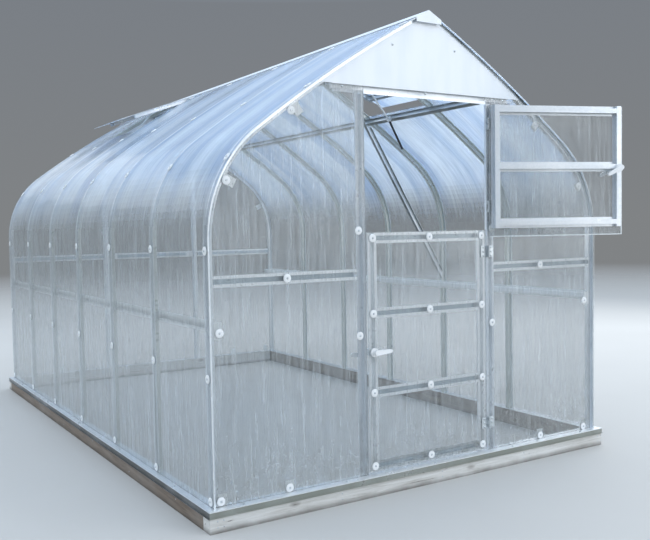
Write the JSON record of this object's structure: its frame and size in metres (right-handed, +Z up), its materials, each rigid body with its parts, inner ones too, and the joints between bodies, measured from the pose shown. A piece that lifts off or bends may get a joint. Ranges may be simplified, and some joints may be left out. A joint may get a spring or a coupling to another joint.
{
  "type": "greenhouse",
  "caption": "Pointed-arch greenhouse of bent steel profiles with clear twin-wall sheets, a two-part stable door and a propped vent in each roof slope.",
  "frame": {"origin": "middle of the front base beam's underside, in the plane of the front wall", "axes": "+X to the hinge side of the door, +Y from the front gable to the back, +Z up"},
  "size_m": [2.56, 4.3688, 2.406],
  "materials": {
    "timber": "weathered",
    "galvanised_steel": "satin",
    "hinge_steel": "satin",
    "white_trim": "satin",
    "white_fittings": "matte",
    "dark_fittings": "matte",
    "clear_sheet": "satin"
  },
  "bodies": {
    "greenhouse": {"base_beam_front": "timber", "base_beam_back": "timber", "base_beam_left": "timber", "base_beam_right": "timber", "base_rail_front": "galvanised_steel", "base_rail_back": "galvanised_steel", "base_rail_left": "galvanised_steel", "base_rail_right": "galvanised_steel", "arch_1": "galvanised_steel", "arch_2": "galvanised_steel", "arch_3": "galvanised_steel", "arch_4": "galvanised_steel", "arch_5": "galvanised_steel", "arch_6": "galvanised_steel", "arch_7": "galvanised_steel", "wall_rails": "galvanised_steel", "purlins": "galvanised_steel", "ridge_beam": "galvanised_steel", "roof_brace": "galvanised_steel", "door_posts": "galvanised_steel", "door_header": "galvanised_steel", "front_gable_rails": "galvanised_steel", "back_gable_frame": "galvanised_steel", "gable_brackets": "galvanised_steel", "vent_frame_left": "galvanised_steel", "vent_frame_right": "galvanised_steel", "ridge_cap": "white_trim", "side_sheets_left": "clear_sheet", "side_sheets_right": "clear_sheet", "front_sheets": "clear_sheet", "back_sheets": "clear_sheet", "vent_sheet_left": "clear_sheet", "vent_sheet_right": "clear_sheet", "front_gable_plate": "white_trim", "back_gable_plate": "white_trim", "post_hinges": "hinge_steel", "catch_button": "white_fittings", "vent_openers": "dark_fittings"},
    "lower_leaf": {"lower_leaf_frame": "galvanised_steel", "lower_leaf_sheet": "clear_sheet", "lower_hinges": "hinge_steel"},
    "upper_leaf": {"upper_leaf_frame": "galvanised_steel", "upper_leaf_sheet": "clear_sheet", "upper_hinges": "hinge_steel"},
    "lower_handle": {"lower_handle": "white_fittings"},
    "upper_handle": {"upper_handle": "white_fittings"}
  },
  "joints": [
    {"name": "lower_leaf_hinge", "type": "hinge", "parent": "greenhouse", "child": "lower_leaf", "pos_m": [0.397, -0.006, 0.715], "axis": [0, 0, 1], "range_deg": [0, 155]},
    {"name": "upper_leaf_hinge", "type": "hinge", "parent": "greenhouse", "child": "upper_leaf", "pos_m": [0.397, -0.006, 1.64], "axis": [0, 0, 1], "range_deg": [-160, 10]},
    {"name": "lower_handle_turn", "type": "hinge", "parent": "lower_leaf", "child": "lower_handle", "pos_m": [-0.358, -0.006, 0.705], "axis": [0, -1, 0], "range_deg": [-60, 0]},
    {"name": "upper_handle_turn", "type": "hinge", "parent": "upper_leaf", "child": "upper_handle", "pos_m": [1.10647, -0.26423, 1.624], "axis": [0.342, 0.9397, 0], "range_deg": [-20, 40]}
  ]
}
